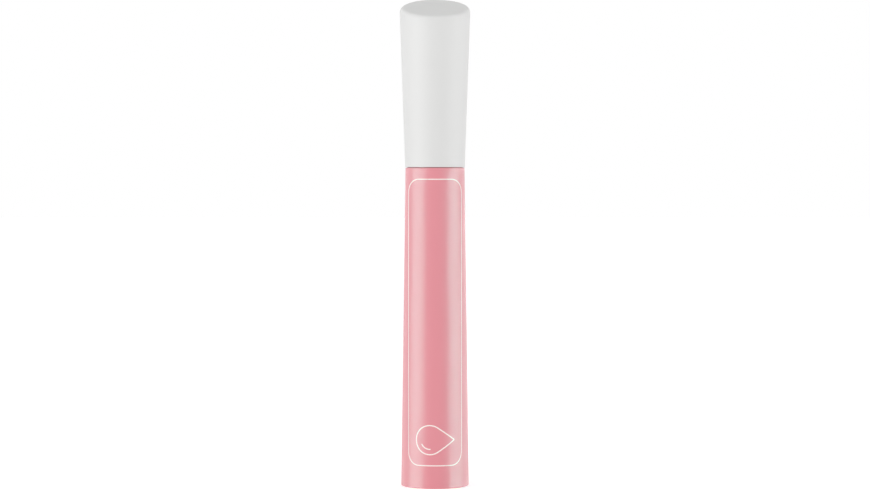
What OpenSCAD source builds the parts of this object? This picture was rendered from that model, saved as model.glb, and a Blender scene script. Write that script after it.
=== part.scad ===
// Brush pen for nail oil. A tapered sleeve hides the vial of oil, and a flared cap with a slanting
// crown carries the wand that dips into it. It stands on its foot: +Z runs up the pen, and -Y is
// the printed front, which the low side of the crown faces.

/* [Sleeve] */
// Diameter of the sleeve at its foot
foot_d = 16.2; // [15.5:0.1:18]
// Diameter of the sleeve at its shoulder, just under the cap
shoulder_d = 14.1; // [13.8:0.1:15.2]
// Height of the sleeve
sleeve_h = 76; // [60:0.1:100]
// Wall of the sleeve
sleeve_wall = 1.1; // [0.8:0.05:1.2]
// Thickness of the lip that turns in over the vial's shoulder
lip_t = 1.2; // [0.8:0.1:2]
// Free play between the lip's hole and the thread it drops over
lip_play = 0.15; // [0.1:0.05:0.3]
// Round on the sleeve's outer edges
sleeve_round = 0.1; // [0.1:0.05:0.4]
// Height of the collar on the sleeve's shoulder that centres the cap
collar_h = 0.4; // [0.3:0.05:0.6]
// Free play round the collar, in the rebate of the cap's mouth
collar_play = 0.15; // [0.1:0.05:0.3]

/* [Foot plug] */
// Height of the plug's top edge above the foot
plug_h = 4.2; // [3.4:0.1:6]
// Depth that the plug's face lies above the foot
plug_recess = 0.4; // [0.2:0.1:0.8]
// Thickness of the plug's face
plug_floor = 1.2; // [0.8:0.1:1.4]
// Wall of the plug's skirt
plug_wall = 1.1; // [0.9:0.1:1.4]
// Thickness of the webs that stiffen the plug
plug_web = 0.8; // [0.6:0.1:1.2]
// Gap between the plug's skirt and the sleeve
plug_fit = 0.04; // [0.02:0.01:0.08]
// Height that the plug's snap bead stands proud
snap = 0.15; // [0.1:0.01:0.2]
// Width of the snap bead along the pen
snap_w = 0.8; // [0.6:0.1:1]

/* [Vial] */
// Air gap between the vial and the sleeve
vial_gap = 0.35; // [0.2:0.05:0.5]
// Wall of the vial
vial_wall = 0.8; // [0.6:0.05:1]
// Thickness of the vial's floor
vial_floor = 1; // [0.8:0.1:1.5]
// Rise of the vial's floor at its middle
push_up = 0.6; // [0.3:0.1:1]
// Round at the vial's heel
heel = 0.4; // [0.2:0.1:0.5]
// Thickness of the vial's shoulder
shoulder_t = 1; // [0.8:0.1:1.5]
// Diameter of the vial's neck at the root of its thread
neck_d = 8.2; // [7.8:0.1:8.6]
// Wall of the neck
neck_wall = 1; // [0.8:0.05:1.1]
// Height of the neck above the sleeve
neck_rise = 11.5; // [9:0.1:14]
// Depth of the thread on the neck
thread_depth = 0.7; // [0.5:0.05:0.8]
// Chamfer on the neck's rim
neck_chamfer = 0.2; // [0.1:0.05:0.3]

/* [Oil] */
// Height of the air space between the oil and the vial's shoulder
air_h = 5; // [2:0.5:20]
// Clearance of the path that the oil leaves round the wand
path_gap = 0.35; // [0.2:0.05:0.5]
// Gap drawn between the oil and the wall that it wets
wet_gap = 0.02; // [0.01:0.01:0.05]

/* [Wiper and seal] */
// Length of the wiper below the neck's rim
wiper_len = 11; // [8:0.1:12]
// Wall of the wiper
wiper_wall = 0.5; // [0.4:0.05:0.6]
// Thickness of the wiper's flange and of its lip
wiper_lip = 0.8; // [0.6:0.05:1]
// Length of the cone that draws the wiper in to the wand
wiper_cone = 2; // [1.5:0.1:3]
// Gap between the wiper and the neck's bore
wiper_fit = 0.02; // [0.01:0.01:0.05]
// Gap between the wiper's lip and the wand
wipe_gap = 0.08; // [0.05:0.01:0.1]
// Thickness of the seal ring
seal_t = 1; // [0.8:0.1:1.5]
// Gap between the seal ring and the wand
seal_gap = 0.3; // [0.2:0.05:0.5]

/* [Cap] */
// Gap at the seam between the cap and the sleeve
seam = 0.05; // [0.05:0.05:0.3]
// Overhang of the cap's mouth past the sleeve's shoulder
cap_proud = 0.08; // [0:0.01:0.4]
// Overhang of the crown past the foot, which lets the pen lie nearly level on its side. It is taken
// where the flare runs into the crown's round, at its sides.
crown_over = 0.3; // [0:0.05:1]
// Height of the cap on its axis
cap_h = 38.1; // [34:0.05:50]
// Angle of the crown, low at the front
slant = 17.5; // [5:0.5:25]
// Round on the crown's rim
crown_round = 1.2; // [0.4:0.1:1.6]
// Distance below the crown's round, at its lowest, that the flare's last level ring lies
crown_band = 0.5; // [0.2:0.1:1]
// Round on the cap's mouth
mouth_round = 0.1; // [0.1:0.05:0.4]
// Wall of the cap's mouth, round the rebate for the collar
mouth_wall = 0.5; // [0.4:0.05:0.8]
// Thickness of the crown's wall
roof_t = 2; // [1.2:0.1:3]
// Thickness of the ribs inside the cap that stop the insert
rib_t = 0.9; // [0.7:0.1:1.4]
// Number of ribs inside the cap
ribs = 4; // [3:1:6]
// Gap between the insert and the cap, and between the insert's socket and the ribs
cap_fit = 0.05; // [0.02:0.01:0.1]

/* [Insert] */
// Gap between the insert's bore and the crest of the neck's thread
thread_gap = 0.15; // [0.1:0.05:0.25]
// Wall of the insert
insert_wall = 0.9; // [0.7:0.05:1]
// Depth of the insert's edge inside the cap's mouth
insert_recess = 0.8; // [0.4:0.1:2]
// Thickness of the insert's roof
insert_roof = 1.4; // [1:0.1:2]
// Lead-in chamfer at the insert's mouth
lead_in = 0.3; // [0.2:0.05:0.4]
// Height of the socket that grips the wand
socket_h = 8.5; // [6:0.1:10]
// Wall of the socket and of its end
socket_wall = 1.1; // [0.8:0.1:1.4]

/* [Wand] */
// Diameter of the wand's stem
stem_d = 3.2; // [3:0.1:3.4]
// Diameter of the wand's head, held in the socket
head_d = 4; // [3.8:0.1:4.4]
// Gap between the head and its socket
head_fit = 0.05; // [0.02:0.01:0.08]
// Height of the rounded bead that locks the head
lock = 0.15; // [0.1:0.01:0.2]
// Clearance between the brush's tip and the vial's floor
tip_clear = 4.3; // [3:0.1:8]

/* [Brush] */
// Length of brush that shows below the stem
brush_len = 11; // [8:0.1:14]
// Diameter of the bore that holds the brush
brush_bore_d = 2.3; // [2:0.05:2.4]
// Depth of that bore
brush_bore_h = 4; // [3:0.1:6]
// Thickness of the welded end of the tuft
weld_t = 0.8; // [0.6:0.05:1.2]
// Diameter of the tuft at its fullest
belly_d = 2.7; // [2.3:0.05:2.9]
// Diameter of the tuft at its tip
tip_d = 0.9; // [0.6:0.05:1.4]
// How much shorter the outer strands are than the middle one
tip_dome = 1.6; // [0.8:0.1:2.5]
// Number of strands
strands = 300; // [300:10:400]
// Gap round the welded end and the anchor
brush_fit = 0.03; // [0.02:0.01:0.06]
// Thickness of the metal anchor
anchor_t = 0.35; // [0.25:0.05:0.5]
// Height of the metal anchor
anchor_h = 1.5; // [1:0.1:1.8]

/* [Hidden] */
$fn = 96;
// Steps of a small round, of the crown's rim, and round the cap
round_steps = 3;
rim_steps = 6;
facets = 96;
// How far a cut runs past the face that it opens
past = 1;

// Sleeve and foot
lip_z = sleeve_h - lip_t;
neck_r = neck_d / 2;
crest_r = neck_r + thread_depth;
lip_hole_r = crest_r + lip_play;
function sleeve_r(z) = (foot_d + (shoulder_d - foot_d) * z / sleeve_h) / 2;
function sleeve_bore_r(z) = sleeve_r(z) - sleeve_wall;
seat_r = sleeve_bore_r(plug_h);
plug_r = seat_r - plug_fit;
snap_z = plug_recess + plug_floor + snap_w;

// Vial
function vial_r(z) = sleeve_bore_r(z) - vial_gap;
function vial_bore_r(z) = vial_r(z) - vial_wall;
vial_floor_z = plug_h + vial_floor;
shoulder_z = lip_z - shoulder_t;
neck_bore_r = neck_r - neck_wall;
// The vial's inner shoulder slopes at 45 degrees down from the neck's bore
slope_z = shoulder_z - vial_bore_r(shoulder_z) + neck_bore_r;
rim_z = sleeve_h + neck_rise;
oil_z = slope_z - air_h;

// Wand
stem_r = stem_d / 2;
head_r = head_d / 2;
path_r = stem_r + path_gap;
tip_z = vial_floor_z + push_up + tip_clear;
stem_z = tip_z + brush_len;
brush_bore_r = brush_bore_d / 2;
bore_end_z = stem_z + brush_bore_h;
anchor_z = bore_end_z - brush_fit - anchor_h;
weld_z = anchor_z - weld_t;
weld_r = brush_bore_r - brush_fit;

// Wiper, seal and insert
wiper_r = neck_bore_r - wiper_fit;
wiper_top_z = rim_z + wiper_lip;
wiper_z = rim_z - wiper_len;
orifice_r = stem_r + wipe_gap;
roof_z = wiper_top_z + seal_t;
insert_bore_r = crest_r + thread_gap;
insert_r = insert_bore_r + insert_wall;
mouth_z = sleeve_h + seam;
insert_z = mouth_z + insert_recess;
insert_top_z = roof_z + insert_roof;
socket_bore_r = head_r + head_fit;
socket_r = socket_bore_r + socket_wall;
socket_z = insert_top_z + socket_h;
head_z = socket_z - socket_wall - head_fit;
lock_z = (insert_top_z + head_z) / 2;

// Cap
mouth_r = shoulder_d / 2 + cap_proud;
rebate_r = mouth_r - mouth_wall;
rebate_z = sleeve_h + collar_h + collar_play;
crown_r = foot_d / 2 + crown_over;
cap_bore_r = insert_r + cap_fit;
crown_z = mouth_z + cap_h;
// Angle that the cap's wall leans out, and its radius at a height
flare = atan((crown_r - mouth_r) / (crown_z - crown_round / cos(slant) - mouth_z));
function wall_r(z) = mouth_r + (z - mouth_z) * tan(flare);
flare_z = crown_z - crown_r * tan(slant) - crown_round / cos(slant) - crown_band;
ceiling_z = crown_z - roof_t / cos(slant);

// Points of a round in a profile: centre, radius, first and last angle
function bend(x, y, r, from, to) =
    [for (i = [0:round_steps]) let(a = from + (to - from) * i / round_steps) [x + r * cos(a), y + r * sin(a)]];

module turned(profile) {
    rotate_extrude() polygon(profile);
}

// Skin over a stack of rings, lowest first, closed by a fan to a point at each end
module loft(rings, low, high) {
    n = len(rings[0]);
    m = len(rings);
    walls = [
        for (k = [0:m - 2], i = [0:n - 1])
            let(a = k * n + i, b = k * n + (i + 1) % n)
            each [[a, a + n, b + n], [a, b + n, b]]
    ];
    floor_fan = [for (i = [0:n - 1]) [m * n, i, (i + 1) % n]];
    top_fan = [for (i = [0:n - 1]) [m * n + 1, (m - 1) * n + (i + 1) % n, (m - 1) * n + i]];
    polyhedron(concat([for (ring = rings) each ring], [low, high]), concat(walls, floor_fan, top_fan));
}

// Printed shell, moulded with a draft from foot to shoulder. Its lip holds the vial down, and the
// collar on its shoulder centres the cap and closes the seam to the eye.
module outer_sleeve() {
    collar_r = rebate_r - collar_play;
    color("#E49AA2") turned(concat(
        [[seat_r, 0]],
        bend(sleeve_r(0) - sleeve_round, sleeve_round, sleeve_round, -90, 0),
        bend(shoulder_d / 2 - sleeve_round, sleeve_h - sleeve_round, sleeve_round, 0, 90),
        [
            [collar_r, sleeve_h],
            [collar_r, sleeve_h + collar_h - collar_play],
            [collar_r - collar_play, sleeve_h + collar_h],
            [lip_hole_r, sleeve_h + collar_h],
            [lip_hole_r, lip_z],
            [sleeve_bore_r(lip_z), lip_z],
            [seat_r, plug_h],
            [seat_r, snap_z + snap_w / 2],
            [seat_r + snap, snap_z],
            [seat_r, snap_z - snap_w / 2]
        ]
    ));
}

// Cup pressed into the foot. Its skirt snaps into the sleeve and carries the vial.
module base_plug() {
    inner_r = plug_r - plug_wall;
    web_h = plug_h - plug_recess - plug_floor - snap;
    color("#D88F98") {
        turned([
            [0, plug_recess],
            [plug_r - plug_fit, plug_recess],
            [plug_r, plug_recess + plug_floor / 2],
            [plug_r, snap_z - snap_w / 2],
            [plug_r + snap, snap_z],
            [plug_r, snap_z + snap_w / 2],
            [plug_r, plug_h],
            [inner_r, plug_h],
            [inner_r, plug_recess + plug_floor],
            [0, plug_recess + plug_floor]
        ]);
        for (a = [0:60:120])
            rotate(a)
                translate([-inner_r - plug_fit, -plug_web / 2, plug_recess + plug_floor / 2])
                    cube([2 * (inner_r + plug_fit), plug_web, web_h + plug_floor / 2]);
    }
}

// Space inside the vial, drawn in by a gap, up to the neck's bore
module vial_space(gap, top) {
    floor_z = vial_floor_z + gap;
    wall_r = vial_bore_r(vial_floor_z) - gap;
    turned(concat(
        [[0, floor_z + push_up], [wall_r - 2 * heel, floor_z]],
        bend(wall_r - heel, floor_z + heel, heel, -90, 0),
        [
            [vial_bore_r(slope_z) - gap, slope_z],
            [neck_bore_r - gap, shoulder_z],
            [neck_bore_r - gap, top],
            [0, top]
        ]
    ));
}

// Blow-moulded vial with a pushed-up floor and a plain neck that takes the thread
module inner_vial() {
    color("#F2EDE8", 0.6) difference() {
        turned(concat(
            [[0, plug_h + push_up], [vial_r(plug_h) - 3 * heel, plug_h]],
            bend(vial_r(plug_h) - heel, plug_h + heel, heel, -90, 0),
            bend(vial_r(lip_z) - heel / 2, lip_z - heel / 2, heel / 2, 0, 90),
            [
                [neck_r, lip_z],
                [neck_r, rim_z - neck_chamfer],
                [neck_r - neck_chamfer, rim_z],
                [0, rim_z]
            ]
        ));
        vial_space(0, rim_z + past);
    }
}

// Fill of oil, with a path left open for the wand and the brush
module nail_oil() {
    color("#E8B84A", 0.6) difference() {
        intersection() {
            vial_space(wet_gap, rim_z);
            cylinder(r = foot_d, h = oil_z);
        }
        translate([0, 0, tip_z - path_gap])
            cylinder(r = path_r, h = oil_z);
    }
}

// Soft sleeve pressed into the neck. Its lip strips the wand as it is drawn out.
module wiper() {
    inner_r = wiper_r - wiper_wall;
    flange_r = neck_r - neck_chamfer;
    color("#F7F5F0") turned([
        [inner_r + wiper_wall / 2, wiper_top_z],
        [flange_r, wiper_top_z],
        [flange_r, rim_z],
        [wiper_r, rim_z],
        [wiper_r, wiper_z + wiper_cone],
        [orifice_r + wiper_lip / 2, wiper_z],
        [orifice_r, wiper_z],
        [orifice_r, wiper_z + wiper_lip / 2],
        [inner_r, wiper_z + wiper_cone],
        [inner_r, wiper_top_z - wiper_wall / 2]
    ]);
}

// Foam ring that the insert presses on the wiper's flange
module seal_ring() {
    color("#FFFFFF") translate([0, 0, wiper_top_z])
        difference() {
            cylinder(r = neck_r, h = seal_t);
            translate([0, 0, -past])
                cylinder(r = stem_r + seal_gap, h = seal_t + 2 * past);
        }
}

// Ring of the ball that rolls in the corner of the cap's flared wall (share 0) and its slanting crown
// (share 1). Its centre keeps one radius from both.
function crown_ring(share) = [
    for (i = [0:facets - 1])
        let(
            a = 360 * i / facets,
            side = [cos(a) * cos(flare), sin(a) * cos(flare), -sin(flare)],
            up = [0, -sin(slant), cos(slant)],
            spread = acos(side * up),
            way = (sin((1 - share) * spread) * side + sin(share * spread) * up) / sin(spread),
            core_r = (crown_r - crown_round / cos(flare)) / (1 - tan(flare) * tan(slant) * sin(a)),
            core_z = crown_z - crown_round / cos(slant) + tan(slant) * core_r * sin(a)
        )
        [core_r * cos(a), core_r * sin(a), core_z] + crown_round * way
];
function level_ring(r, z) = [for (i = [0:facets - 1]) let(a = 360 * i / facets) [r * cos(a), r * sin(a), z]];

// Half space above a plane that slants as the crown does
module above_slant(z) {
    translate([0, 0, z])
        rotate([slant, 0, 0])
            translate([-2 * crown_r, -2 * crown_r, 0])
                cube([4 * crown_r, 4 * crown_r, 2 * crown_r]);
}

// White cap, flared towards a crown cut at a slant. Its straight bore is cored from the mouth, where
// a rebate takes the sleeve's collar.
module cap_shell() {
    mouth = [for (p = bend(mouth_r - mouth_round, mouth_z + mouth_round, mouth_round, -90, 0)) level_ring(p.x, p.y)];
    rim = [for (k = [0:rim_steps]) crown_ring(k / rim_steps)];
    color("#E4E3E2") {
        difference() {
            loft(concat(mouth, [level_ring(wall_r(flare_z), flare_z)], rim), [0, 0, mouth_z], [0, 0, crown_z]);
            difference() {
                translate([0, 0, mouth_z - past])
                    cylinder(r = cap_bore_r, h = cap_h + crown_r);
                above_slant(ceiling_z);
            }
            translate([0, 0, mouth_z - past])
                cylinder(r = rebate_r, h = rebate_z - mouth_z + past);
        }
        for (i = [0:ribs - 1])
            rotate(360 * (i + 0.5) / ribs)
                difference() {
                    translate([socket_r + cap_fit, -rib_t / 2, insert_top_z])
                        cube([cap_bore_r + cap_fit - socket_r, rib_t, ceiling_z + past - insert_top_z]);
                    rotate(-360 * (i + 0.5) / ribs)
                        above_slant(ceiling_z + cap_fit);
                }
    }
}

// Inner cap that the neck screws into, with a blind socket for the wand's head
module cap_insert() {
    color("#FAFAF8") turned([
        [insert_bore_r + lead_in, insert_z],
        [insert_r - lead_in, insert_z],
        [insert_r, insert_z + lead_in],
        [insert_r, insert_top_z - lead_in],
        [insert_r - lead_in, insert_top_z],
        [socket_r, insert_top_z],
        [socket_r, socket_z - lead_in],
        [socket_r - lead_in, socket_z],
        [0, socket_z],
        [0, socket_z - socket_wall],
        [socket_bore_r, socket_z - socket_wall],
        [socket_bore_r, lock_z + lock],
        [socket_bore_r + lock, lock_z],
        [socket_bore_r, lock_z - lock],
        [socket_bore_r, roof_z],
        [insert_bore_r, roof_z],
        [insert_bore_r, insert_z + lead_in]
    ]);
}

// Wand: a head with a locking bead above a plain stem, bored at its end for the brush
module stem() {
    color("#F4F3F0") difference() {
        turned([
            [0, stem_z],
            [stem_r - lock, stem_z],
            [stem_r, stem_z + lock],
            [stem_r, roof_z],
            [head_r, roof_z],
            [head_r, lock_z - lock],
            [head_r + lock, lock_z],
            [head_r, lock_z + lock],
            [head_r, head_z - lock],
            [head_r - lock, head_z],
            [0, head_z]
        ]);
        translate([0, 0, stem_z - past])
            cylinder(r = brush_bore_r, h = brush_bore_h + past);
    }
}

// Metal blade that pins the welded end of the tuft in the stem
module brush_anchor() {
    half_w = sqrt(pow(weld_r, 2) - pow(anchor_t / 2, 2));
    color("#C9CDD2") translate([-half_w, -anchor_t / 2, anchor_z])
        cube([2 * half_w, anchor_t, anchor_h]);
}

// Spread of the tuft: straight in its bore, full at the belly, drawn in at the tip
belly_share = 0.4;
belly_z = stem_z - brush_len * belly_share;
root_r = weld_r - brush_fit;
// Thickness of a strand as a share of the space it has
strand_share = 0.62;
golden_angle = 180 * (3 - sqrt(5));
function tuft_r(z) = lookup(z, [[tip_z, tip_d / 2], [belly_z, belly_d / 2], [stem_z, root_r], [bore_end_z, root_r]]);
function strand_centre(i, z) =
    let(r = tuft_r(z) * sqrt((i + 0.5) / strands), a = i * golden_angle)
    [r * cos(a), r * sin(a), z];
function strand_ring(i, z) =
    let(c = strand_centre(i, z), r = strand_share * tuft_r(z) / sqrt(strands))
    [for (a = [0:120:240]) c + [r * cos(a + i * golden_angle), r * sin(a + i * golden_angle), 0]];

// Round tuft of nylon strands, welded together at its upper end
module brush_tuft() {
    color("#2B2622") {
        translate([0, 0, weld_z])
            cylinder(r = weld_r, h = weld_t);
        for (i = [0:strands - 1])
            loft(
                [for (z = [belly_z, stem_z, weld_z + weld_t / 2]) strand_ring(i, z)],
                strand_centre(i, tip_z + tip_dome * i / strands),
                strand_centre(i, weld_z + weld_t / 2)
            );
    }
}

outer_sleeve();
base_plug();
inner_vial();
nail_oil();
wiper();
seal_ring();
cap_shell();
cap_insert();
stem();
brush_anchor();
brush_tuft();
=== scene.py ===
"""A brush pen for nail oil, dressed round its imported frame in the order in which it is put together."""
import math

import bmesh
import bpy
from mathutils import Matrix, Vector


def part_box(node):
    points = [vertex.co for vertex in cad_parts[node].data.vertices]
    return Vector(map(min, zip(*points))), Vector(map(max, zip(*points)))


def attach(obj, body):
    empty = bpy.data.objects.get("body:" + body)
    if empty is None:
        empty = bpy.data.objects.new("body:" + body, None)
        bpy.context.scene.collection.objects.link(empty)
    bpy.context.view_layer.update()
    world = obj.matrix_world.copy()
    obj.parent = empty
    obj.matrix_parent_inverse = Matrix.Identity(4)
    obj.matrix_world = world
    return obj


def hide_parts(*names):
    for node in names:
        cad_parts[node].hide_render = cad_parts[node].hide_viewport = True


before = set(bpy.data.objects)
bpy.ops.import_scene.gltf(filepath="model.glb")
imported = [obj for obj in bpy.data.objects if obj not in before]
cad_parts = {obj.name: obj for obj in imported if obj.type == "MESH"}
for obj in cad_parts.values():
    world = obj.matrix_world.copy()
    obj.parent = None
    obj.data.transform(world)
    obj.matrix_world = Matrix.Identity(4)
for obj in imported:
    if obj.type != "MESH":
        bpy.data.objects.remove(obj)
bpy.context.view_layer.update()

# Camera. The photograph looks level at the seam under the cap from a little over half a metre, through
# a long lens tipped down a little, so the seam is straight and the foot bows towards the viewer.
MM = 0.001
PHOTO_WIDTH_PX = 870
SENSOR_MM = 36
FOCAL_PX = 2387.5
CAMERA_DISTANCE = 570 * MM
CAMERA_PITCH = math.radians(1.855)
seam_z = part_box("cap_shell")[0].z

camera_data = bpy.data.cameras.new("camera")
camera_data.sensor_width = SENSOR_MM
camera_data.lens = SENSOR_MM * FOCAL_PX / PHOTO_WIDTH_PX
camera = bpy.data.objects.new("camera", camera_data)
camera.location = (0, -CAMERA_DISTANCE, seam_z)
camera.rotation_euler = (math.pi / 2 - CAMERA_PITCH, 0, 0)
bpy.context.scene.collection.objects.link(camera)
bpy.context.scene.camera = camera

# Foot plug. An injection-moulded polypropylene cup, pressed into the sleeve's foot. Its face is eroded
# matt, and a low ring round the gate's scar keeps the scar off the table.
PLUG_PINK = "#D9929A"
PLUG_ROUGHNESS = 0.55
# The pits of an eroded mould are about 0.05 mm wide, too fine to show, so they are drawn at 0.25 mm.
PLUG_GRAIN = 0.25 * MM
PLUG_PIT_SHARE = 0.35
GATE_RING_R = 1.6 * MM
GATE_RING_W = 0.35 * MM
GATE_SCAR_R = 0.45 * MM
GATE_STEP = 0.12 * MM
ROUND_SIDES = 128
# Pigment streaks follow the melt as it fills the mould, some 14 mm long.
MELT_CLOUD = 14 * MM
MELT_SHADE = 0.965
# A pit or wave is a tenth as deep as it is wide, and the gloss differs a little from one to the next.
PIT_WIDTH_OVER_DEPTH = 10
PIT_ROUGHNESS_SPREAD = 0.04
# Loose corners within a thousandth of a millimetre are one, and faces that meet at less than 30 degrees
# are shaded as one wall.
CORNER_REACH = 0.001 * MM
CREASE = 30


def linear(hex_colour):
    """An sRGB hex colour as the linear numbers that a shader takes."""
    levels = [int(hex_colour[i:i + 2], 16) / 255 for i in (1, 3, 5)]
    return [v / 12.92 if v <= 0.04045 else ((v + 0.055) / 1.055) ** 2.4 for v in levels] + [1.0]


def add_node(tree, kind, inputs=None, **settings):
    """Adds a node with its settings. Each input is a value or the socket that feeds it."""
    node = tree.nodes.new(kind)
    for name, value in settings.items():
        setattr(node, name, value)
    for name, value in (inputs or {}).items():
        if isinstance(value, bpy.types.NodeSocket):
            tree.links.new(value, node.inputs[name])
        else:
            node.inputs[name].default_value = value
    return node


def new_material(name):
    """An empty node material, its output, and the place of each point on the piece."""
    material = bpy.data.materials.new(name)
    material.use_nodes = True
    tree = material.node_tree
    tree.nodes.clear()
    output = add_node(tree, "ShaderNodeOutputMaterial")
    place = add_node(tree, "ShaderNodeTexCoord").outputs["Object"]
    return material, tree, output, place


def moulded_plastic(name, colour, grain, roughness, pit_share, **finish):
    """Moulded plastic. Its melt flow clouds the colour by a few hundredths. The pits of an eroded mould
    break the gloss into a soft matt, and a polished one leaves only low waves in it."""
    material, tree, output, place = new_material(name)
    melt = add_node(tree, "ShaderNodeTexNoise", {"Vector": place, "Scale": 1 / MELT_CLOUD, "Detail": 2.0})
    shade = add_node(tree, "ShaderNodeMapRange", {
        "Value": melt.outputs["Fac"], "To Min": 1.0, "To Max": MELT_SHADE})
    tone = add_node(tree, "ShaderNodeHueSaturation", {
        "Color": linear(colour), "Value": shade.outputs["Result"]})
    pits = add_node(tree, "ShaderNodeTexNoise", {"Vector": place, "Scale": 1 / grain, "Detail": 3.0})
    rough = add_node(tree, "ShaderNodeMapRange", {
        "Value": pits.outputs["Fac"], "To Min": roughness - PIT_ROUGHNESS_SPREAD,
        "To Max": roughness + PIT_ROUGHNESS_SPREAD})
    bump = add_node(tree, "ShaderNodeBump", {
        "Height": pits.outputs["Fac"], "Strength": pit_share, "Distance": grain / PIT_WIDTH_OVER_DEPTH})
    shader = add_node(tree, "ShaderNodeBsdfPrincipled", {
        "Base Color": tone.outputs["Color"],
        "Roughness": rough.outputs["Result"],
        "Normal": bump.outputs["Normal"],
        **finish,
    })
    tree.links.new(shader.outputs["BSDF"], output.inputs["Surface"])
    return material


def fitted(name, mesh, body, material):
    """Links a finished mesh as a piece that rides on a body."""
    piece = bpy.data.objects.new(name, mesh)
    bpy.context.scene.collection.objects.link(piece)
    mesh.materials.clear()
    mesh.materials.append(material)
    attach(piece, body)
    return piece


def finished(name, solid, crease=CREASE):
    """Joins a solid's loose corners, turns its faces outwards and smooths them up to a crease in degrees."""
    bmesh.ops.remove_doubles(solid, verts=solid.verts, dist=CORNER_REACH)
    bmesh.ops.recalc_face_normals(solid, faces=solid.faces)
    for face in solid.faces:
        face.smooth = True
    for edge in solid.edges:
        edge.smooth = edge.calc_face_angle(0) < math.radians(crease)
    mesh = bpy.data.meshes.new(name)
    solid.to_mesh(mesh)
    solid.free()
    return mesh


def as_built(name, host):
    """The mesh of an object with its modifiers applied. The object itself goes."""
    bpy.context.scene.collection.objects.link(host)
    mesh = bpy.data.meshes.new_from_object(host.evaluated_get(bpy.context.evaluated_depsgraph_get()))
    mesh.name = name
    bpy.data.objects.remove(host)
    return mesh


def joined_copy(node, crease=CREASE):
    """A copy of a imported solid, which comes as loose triangles, with its corners joined. Its shading
    follows the wide faces, so a long wall stays straight up to the small round at its end."""
    solid = bmesh.new()
    solid.from_mesh(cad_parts[node].data)
    mesh = finished(node + "_joined", solid, crease)
    if "custom_normal" in mesh.attributes:
        mesh.attributes.remove(mesh.attributes["custom_normal"])
    host = bpy.data.objects.new(node + "_host", mesh)
    weighted = host.modifiers.new("weighted", "WEIGHTED_NORMAL")
    weighted.keep_sharp = True
    return as_built(node + "_skin", host)


def turned(name, profile, sides=ROUND_SIDES, crease=CREASE):
    """A solid of revolution from a profile of (radius, height), run so that its wall faces outwards."""
    solid = bmesh.new()
    turns = [2 * math.pi * i / sides for i in range(sides)]
    rings = []
    for r, z in profile:
        around = turns if r > 0 else [0]
        rings.append([solid.verts.new((r * math.cos(a), r * math.sin(a), z)) for a in around])
    for low, high in zip(rings, rings[1:] + rings[:1]):
        if len(low) == len(high) == 1:
            continue
        for i in range(sides):
            j = (i + 1) % sides
            corners = [low[i % len(low)], low[j % len(low)], high[j % len(high)], high[i % len(high)]]
            solid.faces.new(list(dict.fromkeys(corners)))
    return finished(name, solid, crease)


plug_plastic = moulded_plastic("eroded_polypropylene_pink", PLUG_PINK, PLUG_GRAIN, PLUG_ROUGHNESS,
                               PLUG_PIT_SHARE)
plug = fitted("foot_plug", joined_copy("base_plug"), "bottle", plug_plastic)
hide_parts("base_plug")

plug_face_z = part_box("base_plug")[0].z
gate_ring = turned("gate_ring", [
    (GATE_RING_R - GATE_RING_W, plug_face_z + GATE_STEP),
    (GATE_RING_R - GATE_RING_W, plug_face_z - GATE_STEP),
    (GATE_RING_R, plug_face_z - GATE_STEP),
    (GATE_RING_R, plug_face_z + GATE_STEP),
])
gate_scar = turned("gate_scar", [
    (0, plug_face_z - GATE_STEP / 2),
    (GATE_SCAR_R, plug_face_z - GATE_STEP / 2),
    (GATE_SCAR_R, plug_face_z + GATE_STEP),
    (0, plug_face_z + GATE_STEP),
])
fitted("gate_ring", gate_ring, "bottle", plug_plastic)
fitted("gate_scar", gate_scar, "bottle", plug_plastic)

# Vial and oil. A blow-moulded copolyester vial, clear and a little milky, stands on the plug's skirt and
# holds the amber oil. Only its neck shows, once the cap is off, with a two-start thread moulded on it.
VIAL_MILK = "#F3EFEA"
OIL_AMBER = "#E9B550"
VIAL_ROUGHNESS, VIAL_CLEAR_SHARE, VIAL_IOR = 0.22, 0.55, 1.57
OIL_ROUGHNESS, OIL_CLEAR_SHARE, OIL_IOR = 0.03, 0.95, 1.47
# The wall's waves follow the blown parison, a few millimetres apart, and a tenth of their depth shows.
BLOW_WAVE = 4 * MM
BLOW_DEPTH = 0.2 * MM
BLOW_SHARE = 0.1
THREAD_DEPTH = 0.7 * MM
THREAD_FOOT_W = 1.25 * MM
THREAD_CREST_W = 0.6 * MM
THREAD_LEAD = 4.0 * MM
THREAD_TURNS = 1.3
THREAD_STARTS = 2
THREAD_SINK = 0.05 * MM
THREAD_RUN_OUT_SHARE = 0.12
THREAD_STEPS = 160
NECK_THREAD_GAP = 2.2 * MM


def clear_stock(name, colour, roughness, share, ior):
    """Clear stock. The share of the light that passes shows what lies behind, and the rest is body
    colour: much of it in the vial, whose milk softens that to a tint, and hardly any in the oil."""
    material, tree, output, place = new_material(name)
    waves = add_node(tree, "ShaderNodeTexNoise", {"Vector": place, "Scale": 1 / BLOW_WAVE, "Detail": 2.0})
    bump = add_node(tree, "ShaderNodeBump", {
        "Height": waves.outputs["Fac"], "Strength": BLOW_SHARE, "Distance": BLOW_DEPTH})
    shader = add_node(tree, "ShaderNodeBsdfPrincipled", {
        "Base Color": linear(colour),
        "Roughness": roughness,
        "IOR": ior,
        "Transmission Weight": share,
        "Normal": bump.outputs["Normal"],
    })
    tree.links.new(shader.outputs["BSDF"], output.inputs["Surface"])
    return material


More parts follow.
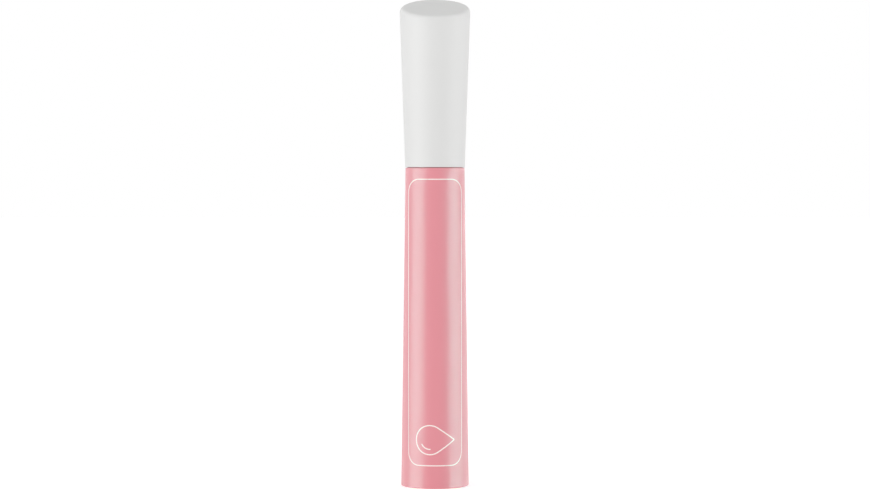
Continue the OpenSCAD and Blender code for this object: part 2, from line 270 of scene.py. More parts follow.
def geometry_tree(name, sizes):
    """A geometry tree with a named input for each size, and its group's two ends."""
    tree = bpy.data.node_groups.new(name, "GeometryNodeTree")
    tree.interface.new_socket("Geometry", in_out="INPUT", socket_type="NodeSocketGeometry")
    tree.interface.new_socket("Geometry", in_out="OUTPUT", socket_type="NodeSocketGeometry")
    kinds = {int: "NodeSocketInt", float: "NodeSocketFloat"}
    for size, value in sizes.items():
        tree.interface.new_socket(size, in_out="INPUT", socket_type=kinds[type(value)])
    tree.interface.new_socket("Material", in_out="INPUT", socket_type="NodeSocketMaterial")
    return tree, tree.nodes.new("NodeGroupInput"), tree.nodes.new("NodeGroupOutput")


def end_tree(tree, start, end, geometry):
    """Ends a tree as the export needs it: instances made real, then the material."""
    real = add_node(tree, "GeometryNodeRealizeInstances", {"Geometry": geometry})
    painted = add_node(tree, "GeometryNodeSetMaterial", {
        "Geometry": real.outputs["Geometry"], "Material": start.outputs["Material"]})
    tree.links.new(painted.outputs["Geometry"], end.inputs["Geometry"])


def tree_mesh(name, tree, sizes, material, path=None, crease=CREASE):
    """Runs a tree with its sizes, on a path where it follows one, and gives the result as a plain mesh."""
    host = bpy.data.objects.new(name + "_host", path or bpy.data.meshes.new(name + "_host"))
    modifier = host.modifiers.new(name, "NODES")
    modifier.node_group = tree
    sockets = {item.name: item.identifier for item in tree.interface.items_tree if item.in_out == "INPUT"}
    for size, value in {**sizes, "Material": material}.items():
        modifier[sockets[size]] = value
    built = as_built(name + "_built", host)
    solid = bmesh.new()
    solid.from_mesh(built)
    bpy.data.meshes.remove(built)
    return finished(name, solid, crease)


def thread_tree(sizes):
    """A right-handed ridge that climbs round a wall in each start, and fades into it at both ends."""
    tree, start, end = geometry_tree("thread", sizes)
    size = start.outputs
    climb = add_node(tree, "GeometryNodeCurveSpiral", {
        "Resolution": size["Steps"], "Rotations": size["Turns"], "Start Radius": size["Root radius"],
        "End Radius": size["Root radius"], "Height": size["Height"], "Reverse": True})
    upright = add_node(tree, "GeometryNodeSetCurveNormal", {"Curve": climb.outputs["Curve"]}, mode="Z_UP")
    along = add_node(tree, "GeometryNodeSplineParameter")
    from_end = add_node(tree, "ShaderNodeMath", {0: along.outputs["Factor"], 1: 0.5}, operation="PINGPONG")
    fade = add_node(tree, "ShaderNodeMapRange", {
        "Value": from_end.outputs["Value"], "From Max": size["Run out"]})
    ridge = add_node(tree, "GeometryNodeCurvePrimitiveQuadrilateral", {
        "Height": size["Depth"], "Bottom Width": size["Foot width"], "Top Width": size["Crest width"],
        "Offset": 0.0}, mode="TRAPEZOID")
    half_depth = add_node(tree, "ShaderNodeMath", {0: size["Depth"], 1: 0.5}, operation="MULTIPLY")
    out = add_node(tree, "ShaderNodeCombineXYZ", {"Y": half_depth.outputs["Value"]})
    rooted = add_node(tree, "GeometryNodeTransform", {
        "Geometry": ridge.outputs["Curve"], "Translation": out.outputs["Vector"]})
    facing = add_node(tree, "ShaderNodeCombineXYZ", {"Z": size["Facing"]})
    faced = add_node(tree, "GeometryNodeTransform", {
        "Geometry": rooted.outputs["Geometry"], "Rotation": facing.outputs["Vector"]})
    swept = add_node(tree, "GeometryNodeCurveToMesh", {
        "Curve": upright.outputs["Curve"], "Profile Curve": faced.outputs["Geometry"],
        "Scale": fade.outputs["Result"], "Fill Caps": True})
    places = add_node(tree, "GeometryNodePoints", {"Count": size["Starts"]})
    index = add_node(tree, "GeometryNodeInputIndex").outputs["Index"]
    turn = add_node(tree, "ShaderNodeMath", {0: index, 1: size["Start angle"]}, operation="MULTIPLY")
    spin = add_node(tree, "ShaderNodeCombineXYZ", {"Z": turn.outputs["Value"]})
    starts = add_node(tree, "GeometryNodeInstanceOnPoints", {
        "Points": places.outputs["Geometry"], "Instance": swept.outputs["Mesh"],
        "Rotation": spin.outputs["Vector"]})
    lift = add_node(tree, "ShaderNodeCombineXYZ", {"Z": size["Start height"]})
    lifted = add_node(tree, "GeometryNodeTransform", {
        "Geometry": starts.outputs["Instances"], "Translation": lift.outputs["Vector"]})
    end_tree(tree, start, end, lifted.outputs["Geometry"])
    return tree


def thread_sizes(root_r, depth, facing, start_z):
    """The sizes of the thread on a wall. Facing points its ridge out of the wall or in from it."""
    return {
        "Root radius": root_r, "Depth": depth, "Foot width": THREAD_FOOT_W, "Crest width": THREAD_CREST_W,
        "Facing": facing, "Start height": start_z, "Height": THREAD_LEAD * THREAD_TURNS,
        "Turns": THREAD_TURNS, "Run out": THREAD_RUN_OUT_SHARE, "Steps": THREAD_STEPS,
        "Starts": THREAD_STARTS, "Start angle": 2 * math.pi / THREAD_STARTS,
    }


OUTWARDS, INWARDS = -math.pi / 2, math.pi / 2
vial_plastic = clear_stock("blow_moulded_copolyester", VIAL_MILK, VIAL_ROUGHNESS, VIAL_CLEAR_SHARE, VIAL_IOR)
vial = fitted("vial", joined_copy("inner_vial"), "bottle", vial_plastic)
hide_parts("inner_vial")
still_oil = clear_stock("still_nail_oil", OIL_AMBER, OIL_ROUGHNESS, OIL_CLEAR_SHARE, OIL_IOR)
oil = fitted("oil", joined_copy("nail_oil"), "bottle", still_oil)
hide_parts("nail_oil")

rim_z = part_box("inner_vial")[1].z
neck_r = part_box("seal_ring")[1].x
thread_low_z = rim_z - NECK_THREAD_GAP - THREAD_LEAD * THREAD_TURNS
neck_thread_sizes = thread_sizes(neck_r - THREAD_SINK, THREAD_DEPTH + THREAD_SINK, OUTWARDS, thread_low_z)
THREAD_TREE = thread_tree(neck_thread_sizes)
neck_thread = tree_mesh("neck_thread", THREAD_TREE, neck_thread_sizes, vial_plastic)
fitted("neck_thread", neck_thread, "bottle", vial_plastic)

# Sleeve. A moulded ABS shell with a soft satin lacquer in dusty pink, sprayed and baked, dropped over
# the vial. A thin frame and a drop are screen-printed on its front in white ink.
LACQUER_PINK = "#E38792"
LACQUER_SHEEN = "#A8FFF6"
LACQUER_SHEEN_LEVEL = 0.8
LACQUER_ROUGHNESS = 0.33
LACQUER_ROUGHNESS_SPREAD = 0.03
# Sprayed lacquer dries in waves about 1.3 mm apart and 0.03 mm high, and baking levels all but a share
# of 0.12. Its flatting grains, which are some 0.01 mm across, are too fine to show, so they are drawn at
# 0.12 mm.
ORANGE_PEEL = 1.3 * MM
ORANGE_PEEL_H = 0.03 * MM
ORANGE_PEEL_SHARE = 0.12
FLATTING_GRAIN = 0.12 * MM
# The gun's passes overlap about every 22 mm, and the colour deepens a little between them.
SPRAY_CLOUD = 22 * MM
SPRAY_SHADE = 0.97
INK_WHITE = "#FBF3F0"
INK_THIN = "#F3E3DF"
INK_ROUGHNESS = 0.45
# The screen's mesh leaves its openings about 0.1 mm apart, too fine to show, so they are drawn at 0.5 mm.
INK_MESH = 0.5 * MM
INK_T = 0.03 * MM
INK_STEP = 0.2 * MM
EDGE_REACH = 1.0 * MM
# The shoulder's rim falls away a little, which leaves the dark line under the cap.
RIM_REACH = 0.2 * MM
RIM_FALL = 0.1 * MM
FRAME_HALF_W = 7.41 * MM
FRAME_LOW_Z = 5.53 * MM
FRAME_HIGH_Z = 73.2 * MM
FRAME_CORNER_R = 3.35 * MM
FRAME_LINE_W = 0.25 * MM
DROP_CENTRE = Vector((-1.25 * MM, 11.6 * MM))
DROP_R = 3.45 * MM
DROP_REACH = 6.15 * MM
DROP_LINE_W = 0.28 * MM
DROP_STEPS = 40
ARC_STEPS = 12
GLINT_R = 2.2 * MM
GLINT_FROM, GLINT_TO = math.radians(205), math.radians(275)


def sprayed_lacquer():
    """Satin lacquer, sprayed and baked. Its flatting grains spread each lamp into a broad soft band
    without an edge, and the band is cooler than the dusty pink, so it looks grey and not bleached."""
    material, tree, output, place = new_material("sprayed_lacquer_pink")
    cloud = add_node(tree, "ShaderNodeTexNoise", {"Vector": place, "Scale": 1 / SPRAY_CLOUD, "Detail": 2.0})
    shade = add_node(tree, "ShaderNodeMapRange", {
        "Value": cloud.outputs["Fac"], "To Min": 1.0, "To Max": SPRAY_SHADE})
    tone = add_node(tree, "ShaderNodeHueSaturation", {
        "Color": linear(LACQUER_PINK), "Value": shade.outputs["Result"]})
    peel = add_node(tree, "ShaderNodeTexNoise", {"Vector": place, "Scale": 1 / ORANGE_PEEL, "Detail": 1.0})
    grains = add_node(tree, "ShaderNodeTexNoise", {
        "Vector": place, "Scale": 1 / FLATTING_GRAIN, "Detail": 2.0})
    rough = add_node(tree, "ShaderNodeMapRange", {
        "Value": grains.outputs["Fac"], "To Min": LACQUER_ROUGHNESS - LACQUER_ROUGHNESS_SPREAD,
        "To Max": LACQUER_ROUGHNESS + LACQUER_ROUGHNESS_SPREAD})
    bump = add_node(tree, "ShaderNodeBump", {
        "Height": peel.outputs["Fac"], "Strength": ORANGE_PEEL_SHARE, "Distance": ORANGE_PEEL_H})
    shader = add_node(tree, "ShaderNodeBsdfPrincipled", {
        "Base Color": tone.outputs["Color"],
        "Roughness": rough.outputs["Result"],
        "Specular IOR Level": LACQUER_SHEEN_LEVEL,
        "Specular Tint": linear(LACQUER_SHEEN),
        "Normal": bump.outputs["Normal"],
    })
    tree.links.new(shader.outputs["BSDF"], output.inputs["Surface"])
    return material


def screen_ink():
    """Screen-printed ink: an opaque white that lets a breath of pink through where it lies thin, and
    stays matt where it dried, so the line is crisp on the lacquer's sheen."""
    material, tree, output, place = new_material("screen_printed_ink_white")
    cover = add_node(tree, "ShaderNodeTexNoise", {"Vector": place, "Scale": 1 / INK_MESH, "Detail": 3.0})
    tone = add_node(tree, "ShaderNodeMix", {
        "Factor": cover.outputs["Fac"], "A": linear(INK_WHITE), "B": linear(INK_THIN)}, data_type="RGBA")
    shader = add_node(tree, "ShaderNodeBsdfPrincipled", {
        "Base Color": tone.outputs["Result"], "Roughness": INK_ROUGHNESS})
    tree.links.new(shader.outputs["BSDF"], output.inputs["Surface"])
    return material


def wall_radius(node, low_z, high_z):
    """The widest radius of a node's solid between two heights."""
    points = [v.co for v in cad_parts[node].data.vertices if low_z <= v.co.z <= high_z]
    return max(math.hypot(p.x, p.y) for p in points)


def print_tree(sizes):
    """Lays a flat path on the front of the taper as a line of ink. The artwork's X is rolled round the
    sleeve's mean radius, its Y runs up the pen, and its Z is the height of the ink."""
    tree, start, end = geometry_tree("print", sizes)
    size = start.outputs
    path = add_node(tree, "GeometryNodeMeshToCurve", {"Mesh": size["Geometry"]})
    even = add_node(tree, "GeometryNodeResampleCurve", {
        "Curve": path.outputs["Curve"], "Length": size["Step"]}, mode="LENGTH")
    flat = add_node(tree, "GeometryNodeSetCurveNormal", {"Curve": even.outputs["Curve"]}, mode="Z_UP")
    section = add_node(tree, "GeometryNodeCurvePrimitiveQuadrilateral", {
        "Width": size["Line width"], "Height": size["Ink thickness"]})
    line = add_node(tree, "GeometryNodeCurveToMesh", {
        "Curve": flat.outputs["Curve"], "Profile Curve": section.outputs["Curve"], "Fill Caps": True})
    at = add_node(tree, "ShaderNodeSeparateXYZ", {
        "Vector": add_node(tree, "GeometryNodeInputPosition").outputs["Position"]}).outputs
    rolled = add_node(tree, "ShaderNodeMath", {0: at["X"], 1: size["Mean radius"]}, operation="DIVIDE")
    sine = add_node(tree, "ShaderNodeMath", {0: rolled.outputs["Value"]}, operation="SINE")
    across = add_node(tree, "ShaderNodeMath", {
        0: sine.outputs["Value"], 1: size["Mean radius"]}, operation="MULTIPLY")
    wall = add_node(tree, "ShaderNodeMapRange", {
        "Value": at["Y"], "From Max": size["Sleeve height"], "To Min": size["Foot radius"],
        "To Max": size["Shoulder radius"]})
    radius = add_node(tree, "ShaderNodeMath", {0: wall.outputs["Result"], 1: at["Z"]}, operation="ADD")
    share = add_node(tree, "ShaderNodeMath", {
        0: across.outputs["Value"], 1: radius.outputs["Value"]}, operation="DIVIDE")
    turn = add_node(tree, "ShaderNodeMath", {0: share.outputs["Value"]}, operation="ARCSINE")
    front = add_node(tree, "ShaderNodeMath", {0: radius.outputs["Value"], 1: -1.0}, operation="MULTIPLY")
    spoke = add_node(tree, "ShaderNodeCombineXYZ", {"Y": front.outputs["Value"], "Z": at["Y"]})
    wrapped = add_node(tree, "ShaderNodeVectorRotate", {
        "Vector": spoke.outputs["Vector"], "Angle": turn.outputs["Value"]}, rotation_type="Z_AXIS")
    laid = add_node(tree, "GeometryNodeSetPosition", {
        "Geometry": line.outputs["Mesh"], "Position": wrapped.outputs["Vector"]})
    end_tree(tree, start, end, laid.outputs["Geometry"])
    return tree


def print_sizes(width):
    """The sizes that lay a line of that width on the sleeve."""
    return {
        "Foot radius": foot_r, "Shoulder radius": shoulder_r, "Mean radius": (foot_r + shoulder_r) / 2,
        "Sleeve height": seam_z, "Line width": width, "Ink thickness": INK_T, "Step": INK_STEP,
    }


def ink_line(name, points, closed, width):
    """A printed line on the sleeve's front, along points of the flat artwork."""
    edges = [(i, i + 1) for i in range(len(points) - 1)] + ([(len(points) - 1, 0)] if closed else [])
    path = bpy.data.meshes.new(name + "_path")
    path.from_pydata([(x, y, 0) for x, y in points], edges, [])
    mesh = tree_mesh(name, PRINT_TREE, print_sizes(width), ink, path)
    return fitted(name, mesh, "bottle", ink)


def arc(x, y, r, start, stop, steps=ARC_STEPS):
    """Points along an arc, both ends included, with its angles in radians."""
    angles = [start + (stop - start) * i / steps for i in range(steps + 1)]
    return [(x + r * math.cos(a), y + r * math.sin(a)) for a in angles]


foot_r = wall_radius("outer_sleeve", 0, EDGE_REACH)
shoulder_r = wall_radius("outer_sleeve", seam_z - EDGE_REACH, seam_z)
sleeve_skin = joined_copy("outer_sleeve")
for corner in sleeve_skin.vertices:
    if corner.co.z > seam_z - RIM_REACH and corner.co.xy.length > shoulder_r - RIM_REACH:
        corner.co.z -= RIM_FALL
sleeve = fitted("sleeve", sleeve_skin, "bottle", sprayed_lacquer())
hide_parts("outer_sleeve")
PRINT_TREE = print_tree(print_sizes(FRAME_LINE_W))
ink = screen_ink()
inset_w = FRAME_HALF_W - FRAME_CORNER_R
low_z, high_z = FRAME_LOW_Z + FRAME_CORNER_R, FRAME_HIGH_Z - FRAME_CORNER_R
quarter = math.pi / 2
corners = [
    (inset_w, low_z, -quarter),
    (inset_w, high_z, 0),
    (-inset_w, high_z, quarter),
    (-inset_w, low_z, 2 * quarter),
]
frame_path = [p for x, y, a in corners for p in arc(x, y, FRAME_CORNER_R, a, a + quarter)]
ink_line("printed_frame", frame_path, True, FRAME_LINE_W)

drop_open = math.acos(DROP_R / DROP_REACH)
drop_path = arc(*DROP_CENTRE, DROP_R, drop_open, 2 * math.pi - drop_open, DROP_STEPS)
drop_path.append((DROP_CENTRE.x + DROP_REACH, DROP_CENTRE.y))
ink_line("printed_drop", drop_path, True, DROP_LINE_W)
ink_line("printed_glint", arc(*DROP_CENTRE, GLINT_R, GLINT_FROM, GLINT_TO), False, DROP_LINE_W)

# Wiper and seal. The wiper is soft low-density polyethylene, pressed into the neck. The seal is a ring
# of white foam that the cap's insert squeezes on the wiper's flange.
WIPER_WHITE = "#F6F4EE"
# The mould is polished, and its last abrasive leaves waves in the skin about 0.4 mm apart.
WIPER_GRAIN = 0.4 * MM
WIPER_ROUGHNESS = 0.4
WIPER_WAVE_SHARE = 0.15
WIPER_SCATTER = {"Subsurface Weight": 0.15, "Subsurface Scale": 0.6 * MM}
FOAM_WHITE = "#F7F6F3"
# A darker white painted into the pits of the cut cells, as painted shade in them.
FOAM_PIT_PAINTED_SHADE = "#E3E1DC"
FOAM_ROUGHNESS = 0.9
# The cells that the knife opened are 0.22 mm across.
FOAM_CELL = 0.22 * MM
FOAM_PIT_DEPTH = FOAM_CELL / 3
FOAM_PIT_SHARE = 0.6


def foam():
    """Closed-cell polyethylene foam, cut from sheet. The knife opens its outer cells, so the cut is dead
    matt and finely pitted, and each pit is painted a darker white as painted shade."""
    material, tree, output, place = new_material("cut_foam_white")
    cells = add_node(tree, "ShaderNodeTexVoronoi", {"Vector": place, "Scale": 1 / FOAM_CELL})
    bump = add_node(tree, "ShaderNodeBump", {
        "Height": cells.outputs["Distance"], "Strength": FOAM_PIT_SHARE, "Distance": FOAM_PIT_DEPTH})
    # Painted shade: the darker white fills each cell's pit, deepest where the bump is lowest.
    tone = add_node(tree, "ShaderNodeMix", {
        "Factor": cells.outputs["Distance"], "A": linear(FOAM_PIT_PAINTED_SHADE), "B": linear(FOAM_WHITE)},
        data_type="RGBA")
    shader = add_node(tree, "ShaderNodeBsdfPrincipled", {
        "Base Color": tone.outputs["Result"], "Roughness": FOAM_ROUGHNESS,
        "Normal": bump.outputs["Normal"]})
    tree.links.new(shader.outputs["BSDF"], output.inputs["Surface"])
    return material


wiper_plastic = moulded_plastic("moulded_polyethylene_soft", WIPER_WHITE, WIPER_GRAIN, WIPER_ROUGHNESS,
                                WIPER_WAVE_SHARE, **WIPER_SCATTER)
wiper = fitted("neck_wiper", joined_copy("wiper"), "bottle", wiper_plastic)
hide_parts("wiper")
seal = fitted("foam_seal", joined_copy("seal_ring"), "seal", foam())
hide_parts("seal_ring")

# Cap. Moulded white ABS with a fine eroded texture, flared to a flat crown cut at a slant. The crown's
# rim is rolled over a small round, and its face is bare.
CAP_WHITE = "#D9D9D8"
CAP_ROUGHNESS = 0.6
# The texture's pits are about 0.06 mm wide, too fine to show, so they are drawn at 0.2 mm.
CAP_GRAIN = 0.2 * MM
CAP_PIT_SHARE = 0.25
CAP_SHEEN = {"Specular IOR Level": 0.55}
CAP_CREASE = 40
cap_plastic = moulded_plastic("eroded_abs_white", CAP_WHITE, CAP_GRAIN, CAP_ROUGHNESS, CAP_PIT_SHARE,
                              **CAP_SHEEN)
cap = fitted("cap", joined_copy("cap_shell", CAP_CREASE), "cap", cap_plastic)
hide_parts("cap_shell")

# Insert. The inner cap, moulded in polypropylene and pressed up against the cap's ribs. The neck's
# thread runs in the one on its bore.
INSERT_WHITE = "#F4F3EF"
# Its mould is polished too, with waves about 0.3 mm apart.
INSERT_GRAIN = 0.3 * MM
INSERT_ROUGHNESS = 0.42
INSERT_WAVE_SHARE = 0.15
INSERT_SCATTER = {"Subsurface Weight": 0.1, "Subsurface Scale": 0.5 * MM}
THREAD_PLAY = 0.05 * MM
BORE_REACH = 3.0 * MM


def bore_radius(node, low_z, high_z):
    """The narrowest radius of a node's solid between two heights."""
    points = [v.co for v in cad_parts[node].data.vertices if low_z < v.co.z < high_z]
    return min(math.hypot(p.x, p.y) for p in points)


insert_plastic = moulded_plastic("moulded_polypropylene_white", INSERT_WHITE, INSERT_GRAIN,
                                 INSERT_ROUGHNESS, INSERT_WAVE_SHARE, **INSERT_SCATTER)
insert = fitted("insert", joined_copy("cap_insert"), "cap", insert_plastic)
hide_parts("cap_insert")
insert_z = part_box("cap_insert")[0].z
bore_r = bore_radius("cap_insert", insert_z, insert_z + BORE_REACH)
insert_thread_sizes = thread_sizes(bore_r + THREAD_SINK, THREAD_DEPTH - THREAD_PLAY, INWARDS,
                                   thread_low_z + THREAD_LEAD / (2 * THREAD_STARTS))
insert_thread = tree_mesh("insert_thread", THREAD_TREE, insert_thread_sizes, insert_plastic)
fitted("insert_thread", insert_thread, "cap", insert_plastic)

# Wand. A polypropylene stem, pushed into the insert's socket. A strip of steel, cut and driven across
# its bore, pins the tuft in its end.
STEM_WHITE = "#F1F0EC"
# Its mould is polished along the stem, with waves about 0.35 mm apart.
STEM_GRAIN = 0.35 * MM
STEM_ROUGHNESS = 0.3
STEM_WAVE_SHARE = 0.1
STEM_SCATTER = {"Subsurface Weight": 0.15, "Subsurface Scale": 0.5 * MM}
STEEL = "#C6CACF"
STEEL_ROUGHNESS_LOW, STEEL_ROUGHNESS_HIGH = 0.2, 0.4
# The rolls leave lines some 0.02 mm apart, too fine to show, so they are drawn 0.04 mm apart, and
# forty times as long as they are wide.
ROLLED_LINE = 1.5 * MM
ROLLED_STRETCH = 40.0


def rolled_steel():
    """Cold-rolled steel strip: bright metal whose fine lines smear a highlight along the rolling."""
    material, tree, output, place = new_material("rolled_steel")
    stretched = add_node(tree, "ShaderNodeMapping", {
        "Vector": place, "Scale": (ROLLED_STRETCH, ROLLED_STRETCH, 1.0)})
    lines = add_node(tree, "ShaderNodeTexNoise", {
        "Vector": stretched.outputs["Vector"], "Scale": 1 / ROLLED_LINE})
    rough = add_node(tree, "ShaderNodeMapRange", {
        "Value": lines.outputs["Fac"], "To Min": STEEL_ROUGHNESS_LOW, "To Max": STEEL_ROUGHNESS_HIGH})
    shader = add_node(tree, "ShaderNodeBsdfPrincipled", {
        "Base Color": linear(STEEL), "Metallic": 1.0, "Roughness": rough.outputs["Result"]})
    tree.links.new(shader.outputs["BSDF"], output.inputs["Surface"])
    return material


stem_plastic = moulded_plastic("moulded_polypropylene_stem", STEM_WHITE, STEM_GRAIN, STEM_ROUGHNESS,
                               STEM_WAVE_SHARE, **STEM_SCATTER)
wand = fitted("wand", joined_copy("stem"), "cap", stem_plastic)
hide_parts("stem")
anchor = fitted("tuft_anchor", joined_copy("brush_anchor"), "cap", rolled_steel())
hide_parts("brush_anchor")

# Brush. Nylon strands are welded together at their upper end and tapered to soft tips, which meet in a
# point. The weld sits in the stem's bore, under the blade.
BRISTLE_DARK = "#2B2622"
# Drawing leaves lines on a strand some 0.01 mm apart, too fine to show, so they are drawn at 0.3 mm,
# as a change of gloss from one strand to the next.
BRISTLE_GRAIN = 0.3 * MM
BRISTLE_ROUGHNESS = 0.35
BRISTLE_LINE_SHARE = 0.05
STRANDS = 420
STRAND_JOINTS = 10
STRAND_SIDES = 4
STRAND_COVER_SHARE = 0.82
STRAND_TIP_SHARE = 0.3
STRAND_TAPER_SHARE = 0.32
# Even the first strand sits a little off the tuft's axis.
SEAT_FILL_MIN = 0.001
# Faces of a strand that meet at less than this many degrees are shaded as one.
STRAND_CREASE = 80
TIP_Z = 10.1 * MM
TIP_DOME = 1.5 * MM
TIP_R = 0.45 * MM
BELLY_Z = 16.7 * MM
BELLY_R = 1.36 * MM
ROOT_R = 1.05 * MM
WELD_R = 1.12 * MM
WELD_LOW_Z = 22.77 * MM
WELD_T = 0.8 * MM
STRAY_SHARE = 0.05
TUFT_SEED = 7
GOLDEN_ANGLE = math.pi * (3 - math.sqrt(5))


def tuft_tree(sizes):
    """Strands on a sunflower pattern. Each follows the tuft's outline at its own share of the radius."""
    tree, start, end = geometry_tree("tuft", sizes)
    size = start.outputs
    index = add_node(tree, "GeometryNodeInputIndex").outputs["Index"]
    filled = add_node(tree, "ShaderNodeMapRange", {
        "Value": index, "From Max": size["Strands"], "To Min": SEAT_FILL_MIN})
    share = add_node(tree, "ShaderNodeMath", {0: filled.outputs["Result"]}, operation="SQRT")
    angle = add_node(tree, "ShaderNodeMath", {0: index, 1: size["Seat angle"]}, operation="MULTIPLY")
    spoke = add_node(tree, "ShaderNodeCombineXYZ", {"X": share.outputs["Value"]})
    seat = add_node(tree, "ShaderNodeVectorRotate", {
        "Vector": spoke.outputs["Vector"], "Angle": angle.outputs["Value"]}, rotation_type="Z_AXIS")
    seats = add_node(tree, "GeometryNodePoints", {
        "Count": size["Strands"], "Position": seat.outputs["Vector"]})
    straight = add_node(tree, "GeometryNodeCurvePrimitiveLine", {"Start": (0, 0, 0), "End": (0, 0, 1)})
    jointed = add_node(tree, "GeometryNodeResampleCurve", {
        "Curve": straight.outputs["Curve"], "Count": size["Joints"]})
    placed = add_node(tree, "GeometryNodeInstanceOnPoints", {
        "Points": seats.outputs["Geometry"], "Instance": jointed.outputs["Curve"]})
    strands = add_node(tree, "GeometryNodeRealizeInstances", {"Geometry": placed.outputs["Instances"]})

    place = add_node(tree, "GeometryNodeInputPosition").outputs["Position"]
    aside = add_node(tree, "ShaderNodeVectorMath", {
        0: place, 1: (1, 1, 0)}, operation="MULTIPLY").outputs["Vector"]
    fill = add_node(tree, "ShaderNodeVectorMath", {0: aside, 1: aside}, operation="DOT_PRODUCT")
    along = add_node(tree, "GeometryNodeSplineParameter").outputs["Factor"]
    end_z = add_node(tree, "ShaderNodeMapRange", {
        "Value": fill.outputs["Value"], "To Min": size["Tip height"], "To Max": size["Edge tip height"]})
    z = add_node(tree, "ShaderNodeMapRange", {
        "Value": along, "To Min": end_z.outputs["Result"], "To Max": size["Weld height"]}).outputs["Result"]
    lower = add_node(tree, "ShaderNodeMapRange", {
        "Value": z, "From Min": size["Tip height"], "From Max": size["Belly height"],
        "To Min": size["Tip radius"], "To Max": size["Belly radius"]}, interpolation_type="SMOOTHERSTEP")
    outline = add_node(tree, "ShaderNodeMapRange", {
        "Value": z, "From Min": size["Belly height"], "From Max": size["Root height"],
        "To Min": lower.outputs["Result"], "To Max": size["Root radius"],
    }, interpolation_type="SMOOTHSTEP").outputs["Result"]
    own = add_node(tree, "GeometryNodeCurveOfPoint").outputs["Curve Index"]
    drift = add_node(tree, "FunctionNodeRandomValue", {
        "Min": (-0.5, -0.5, 0), "Max": (0.5, 0.5, 0), "ID": own, "Seed": size["Seed"],
    }, data_type="FLOAT_VECTOR")
    loose = add_node(tree, "ShaderNodeMapRange", {"Value": along, "To Min": size["Stray"], "To Max": 0.0})
    strayed = add_node(tree, "ShaderNodeVectorMath", {
        0: drift.outputs["Value"], 1: loose.outputs["Result"], 2: aside}, operation="MULTIPLY_ADD")
    height = add_node(tree, "ShaderNodeCombineXYZ", {"Z": z})
    bent = add_node(tree, "ShaderNodeVectorMath", {
        0: strayed.outputs["Vector"], 1: outline, 2: height.outputs["Vector"]}, operation="MULTIPLY_ADD")
    taper = add_node(tree, "ShaderNodeMapRange", {
        "Value": along, "From Max": size["Taper length"], "To Min": size["Tip thickness"],
        "To Max": size["Strand share"]})
    own_r = add_node(tree, "ShaderNodeMath", {0: taper.outputs["Result"], 1: outline}, operation="MULTIPLY")
    thick = add_node(tree, "GeometryNodeSetCurveRadius", {
        "Curve": strands.outputs["Geometry"], "Radius": own_r.outputs["Value"]})
    combed = add_node(tree, "GeometryNodeSetPosition", {
        "Geometry": thick.outputs["Curve"], "Position": bent.outputs["Vector"]})
    section = add_node(tree, "GeometryNodeCurvePrimitiveCircle", {"Resolution": size["Sides"], "Radius": 1.0})
    tubes = add_node(tree, "GeometryNodeCurveToMesh", {
        "Curve": combed.outputs["Geometry"], "Profile Curve": section.outputs["Curve"],
        "Scale": add_node(tree, "GeometryNodeInputRadius").outputs["Radius"], "Fill Caps": True})
    end_tree(tree, start, end, tubes.outputs["Mesh"])
    return tree


strand_share = STRAND_COVER_SHARE / math.sqrt(STRANDS)
tuft_sizes = {
    "Strands": STRANDS, "Joints": STRAND_JOINTS, "Sides": STRAND_SIDES, "Seat angle": GOLDEN_ANGLE,
    "Strand share": strand_share, "Tip thickness": strand_share * STRAND_TIP_SHARE,
    "Taper length": STRAND_TAPER_SHARE, "Tip height": TIP_Z, "Edge tip height": TIP_Z + TIP_DOME,
    "Tip radius": TIP_R, "Belly height": BELLY_Z, "Belly radius": BELLY_R,
    "Root height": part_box("stem")[0].z, "Root radius": ROOT_R, "Weld height": WELD_LOW_Z + WELD_T / 2,
    "Stray": STRAY_SHARE, "Seed": TUFT_SEED,
}
bristle = moulded_plastic("drawn_nylon_dark", BRISTLE_DARK, BRISTLE_GRAIN, BRISTLE_ROUGHNESS,
                          BRISTLE_LINE_SHARE)
strands = tree_mesh("tuft", tuft_tree(tuft_sizes), tuft_sizes, bristle, crease=STRAND_CREASE)
tuft = fitted("tuft", strands, "cap", bristle)
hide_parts("brush_tuft")
weld = turned("tuft_weld", [
    (0, WELD_LOW_Z),
    (WELD_R, WELD_LOW_Z),
    (WELD_R, WELD_LOW_Z + WELD_T),
    (0, WELD_LOW_Z + WELD_T),
])
fitted("tuft_weld", weld, "cap", bristle)

# Stage. A white table and surround. Tall soft boxes at both sides draw the two pale bands down the pen, two
# weak ones behind pick out its edges, and two fill lamps at the front light its colour. All reach below the
# table, which takes the pen's shadow but holds none of their light back, so the bands run to the foot.
FLOOR_SIZE = 6.0
FLOOR_WHITE = "#F4F4F4"
FLOOR_GLOW = 0.42
HORIZON_LIGHT = 1.17
ZENITH_LIGHT = 0.48
BOX_DISTANCE = 0.7


def shows_surround(tree):
    """One for a ray that shows the surround, straight, in gloss or through glass, and nothing for the
    light that a matt surface gathers."""
    ray = add_node(tree, "ShaderNodeLightPath").outputs
    straight = add_node(tree, "ShaderNodeMath", {
        0: ray["Is Camera Ray"], 1: ray["Is Transmission Ray"]}, operation="MAXIMUM")
    any_ray = add_node(tree, "ShaderNodeMath", {
        0: straight.outputs["Value"], 1: ray["Is Glossy Ray"]}, operation="MAXIMUM")
    return any_ray.outputs["Value"]


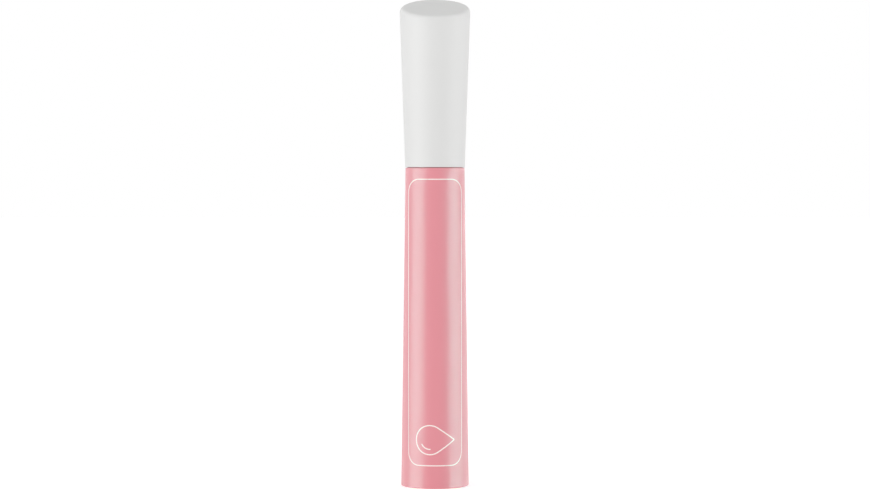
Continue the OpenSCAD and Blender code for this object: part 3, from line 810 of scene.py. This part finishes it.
floor_material, floor_tree, floor_output, _ = new_material("painted_table_white")
table = add_node(floor_tree, "ShaderNodeBsdfDiffuse", {"Color": linear(FLOOR_WHITE)})
glow_level = add_node(floor_tree, "ShaderNodeMapRange", {
    "Value": shows_surround(floor_tree), "To Min": 0.0, "To Max": FLOOR_GLOW})
glow = add_node(floor_tree, "ShaderNodeEmission", {"Strength": glow_level.outputs["Result"]})
both = add_node(floor_tree, "ShaderNodeAddShader", {0: table.outputs["BSDF"], 1: glow.outputs["Emission"]})
floor_tree.links.new(both.outputs["Shader"], floor_output.inputs["Surface"])
half = FLOOR_SIZE / 2
floor_mesh = bpy.data.meshes.new("floor")
floor_corners = [(-half, -half, 0), (half, -half, 0), (half, half, 0), (-half, half, 0)]
floor_mesh.from_pydata(floor_corners, [], [(0, 1, 2, 3)])
floor_mesh.materials.append(floor_material)
floor = bpy.data.objects.new("floor", floor_mesh)
bpy.context.scene.collection.objects.link(floor)
floor.visible_glossy = False
floor.visible_shadow = False

surround = bpy.data.worlds.new("surround")
surround.use_nodes = True
sky_tree = surround.node_tree
sky_tree.nodes.clear()
way = add_node(sky_tree, "ShaderNodeTexCoord").outputs["Generated"]
rise = add_node(sky_tree, "ShaderNodeSeparateXYZ", {"Vector": way}).outputs["Z"]
dome = add_node(sky_tree, "ShaderNodeMapRange", {
    "Value": rise, "To Min": HORIZON_LIGHT, "To Max": ZENITH_LIGHT})
level = add_node(sky_tree, "ShaderNodeMapRange", {
    "Value": shows_surround(sky_tree), "To Min": dome.outputs["Result"], "To Max": 1.0})
sky = add_node(sky_tree, "ShaderNodeBackground", {
    "Color": linear("#FFFFFF"), "Strength": level.outputs["Result"]})
add_node(sky_tree, "ShaderNodeOutputWorld", {"Surface": sky.outputs["Background"]})
bpy.context.scene.world = surround


def soft_box(name, azimuth, height, width, tall, power, seen_by):
    """A soft box at an azimuth from the camera's side, in degrees, with its sizes in metres and its power
    in watts. Either gloss or body colour gathers its light. A box for gloss is sampled at the box alone, as
    rays that find it by chance bring body colour along."""
    data = bpy.data.lights.new(name, "AREA")
    data.shape = "RECTANGLE"
    data.size, data.size_y = width, tall
    data.energy = power
    lamp = bpy.data.objects.new(name, data)
    turn = math.radians(azimuth)
    lamp.location = (BOX_DISTANCE * math.sin(turn), -BOX_DISTANCE * math.cos(turn), height)
    to_pen = Vector((0, 0, seam_z)) - lamp.location
    lamp.rotation_mode = "QUATERNION"
    lamp.rotation_quaternion = to_pen.to_track_quat("-Z", "Y")
    lamp.visible_camera = False
    lamp.visible_diffuse = seen_by == "colour"
    lamp.visible_glossy = seen_by == "gloss"
    data.cycles.use_multiple_importance_sampling = seen_by == "colour"
    bpy.context.scene.collection.objects.link(lamp)


soft_box("left_sheen", -70, 0.1, 0.72, 1.4, 11.2, "gloss")
soft_box("right_sheen", 79, 0.1, 0.76, 1.4, 13.2, "gloss")
soft_box("left_edge", -130, 0.1, 0.5, 1.4, 1.2, "gloss")
soft_box("right_edge", 135, 0.1, 0.5, 1.4, 2.0, "gloss")
soft_box("left_fill", -58, 0.12, 0.6, 0.8, 1.95, "colour")
soft_box("right_fill", 50, 0.12, 0.6, 0.8, 0.88, "colour")
bpy.context.scene.view_settings.view_transform = "Standard"
